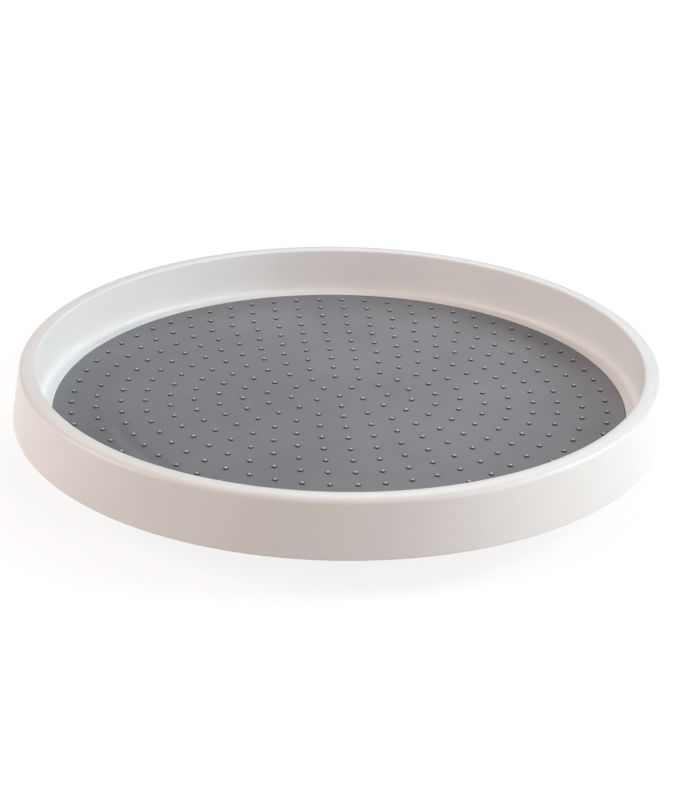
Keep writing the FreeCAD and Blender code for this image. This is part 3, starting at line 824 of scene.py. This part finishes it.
def makeFloor():
    # white to the eye and in reflections, keeping the soft shadow round the foot of the piece;
    # for bounced light it is a warm counter with a little lift, so undersides stay readable
    material = bpy.data.materials.new("paleCounter")
    material.use_nodes = True
    tree = material.node_tree
    tree.nodes.clear()
    rays = addNode(tree, "ShaderNodeLightPath")
    seen = addNode(tree, "ShaderNodeMath", {"operation": "MAXIMUM"},
                   {0: rays.outputs["Is Camera Ray"], 1: rays.outputs["Is Glossy Ray"]})
    seen = addNode(tree, "ShaderNodeMath", {"operation": "MAXIMUM"},
                   {0: seen.outputs[0], 1: rays.outputs["Is Transmission Ray"]})
    white = addNode(tree, "ShaderNodeBsdfDiffuse", {"Color": [stageLook["white"]] * 3 + [1]})
    place = addNode(tree, "ShaderNodeNewGeometry")
    away = addNode(tree, "ShaderNodeVectorMath", {"operation": "LENGTH"}, {0: place.outputs["Position"]})
    level = addNode(tree, "ShaderNodeMapRange", {"From Min": stageLook["glowFrom"],
                                                 "From Max": stageLook["glowTo"],
                                                 "To Min": stageLook["glow"]},
                    {"Value": away.outputs["Value"]})
    glow = addNode(tree, "ShaderNodeEmission", {}, {"Strength": level.outputs[0]})
    paper = addNode(tree, "ShaderNodeAddShader", {}, {0: white.outputs[0], 1: glow.outputs[0]})
    dull = addNode(tree, "ShaderNodeBsdfDiffuse", {"Color": linear(stageLook["counter"])})
    lift = addNode(tree, "ShaderNodeEmission", {"Color": linear(stageLook["bounce"]),
                                                "Strength": stageLook["lift"]})
    counter = addNode(tree, "ShaderNodeAddShader", {}, {0: dull.outputs[0], 1: lift.outputs[0]})
    shown = addNode(tree, "ShaderNodeMixShader", {},
                    {0: seen.outputs[0], 1: counter.outputs[0], 2: paper.outputs[0]})
    clear = addNode(tree, "ShaderNodeBsdfTransparent")
    surface = addNode(tree, "ShaderNodeMixShader", {},
                      {0: place.outputs["Backfacing"], 1: shown.outputs[0], 2: clear.outputs[0]})
    addNode(tree, "ShaderNodeOutputMaterial", {}, {"Surface": surface.outputs[0]})
    half = stageLook["span"]
    mesh = bpy.data.meshes.new("floor")
    mesh.from_pydata([(-half, -half, 0), (half, -half, 0), (half, half, 0), (-half, half, 0)], [],
                     [(0, 1, 2, 3)])
    mesh.materials.append(material)
    floor = bpy.data.objects.new("floor", mesh)
    bpy.context.scene.collection.objects.link(floor)


worldLook = {"strength": 0.2}


def makeWorld():
    # full white to the eye; a dim white room for everything else
    world = bpy.data.worlds.new("studio")
    world.use_nodes = True
    bpy.context.scene.world = world
    tree = world.node_tree
    tree.nodes.clear()
    rays = addNode(tree, "ShaderNodeLightPath")
    seen = addNode(tree, "ShaderNodeMath", {"operation": "MAXIMUM"},
                   {0: rays.outputs["Is Camera Ray"], 1: rays.outputs["Is Transmission Ray"]})
    room = addNode(tree, "ShaderNodeBackground", {"Color": (1, 1, 1, 1),
                                                  "Strength": worldLook["strength"]})
    white = addNode(tree, "ShaderNodeBackground", {"Color": (1, 1, 1, 1), "Strength": 1.0})
    mixed = addNode(tree, "ShaderNodeMixShader", {},
                    {0: seen.outputs[0], 1: room.outputs[0], 2: white.outputs[0]})
    addNode(tree, "ShaderNodeOutputWorld", {}, {"Surface": mixed.outputs[0]})


lampLook = {  # azimuth, elevation and distance of each soft box, its side, power and colour
    "right": (2, 32, 1.5, 0.7, 13.6, "#EBFAFF"),
    "back": (80, 40, 1.5, 0.7, 4.1, "#F4FAFF"),
    "frontRight": (320, 15, 1.5, 0.7, 7.3, "#FFF4F1"),
    "left": (186, 22, 1.5, 0.7, 8.4, "#FEFFFA"),
    "frontLeft": (200, 40, 1.5, 0.7, 4.5, "#FFCFC0")}


def makeLamp(name, azimuth, elevation, distance, side, power, colour):
    lamp = bpy.data.lights.new(name, "AREA")
    lamp.shape = "SQUARE"
    lamp.size = side
    lamp.energy = power
    lamp.color = linear(colour)[:3]
    holder = bpy.data.objects.new(name, lamp)
    a, e = math.radians(azimuth), math.radians(elevation)
    away = Vector((math.cos(a) * math.cos(e), math.sin(a) * math.cos(e), math.sin(e)))
    holder.location = away * distance
    holder.rotation_euler = away.to_track_quat("Z", "Y").to_euler()
    bpy.context.scene.collection.objects.link(holder)


cameraLook = {"elevation": 24.46, "distance": 0.806, "lens": 77.2, "roll": 0.97}


def makeCamera():
    camera = bpy.data.objects.new("camera", bpy.data.cameras.new("camera"))
    camera.data.lens = cameraLook["lens"]
    camera.data.sensor_fit = "AUTO"
    camera.data.sensor_width = 36
    target = Vector((0, 0, matTop * mm))
    e = math.radians(cameraLook["elevation"])
    away = Vector((0, -math.cos(e), math.sin(e)))
    camera.location = target + away * cameraLook["distance"]
    turn = away.to_track_quat("Z", "Y").to_matrix()
    camera.rotation_euler = (turn @ Matrix.Rotation(math.radians(cameraLook["roll"]), 3, "Z")).to_euler()
    bpy.context.scene.collection.objects.link(camera)
    bpy.context.scene.camera = camera


makeFloor()
makeWorld()
for name, look in lampLook.items():
    makeLamp(name, *look)
makeCamera()
bpy.context.scene.view_settings.view_transform = "Standard"
print("stage made")
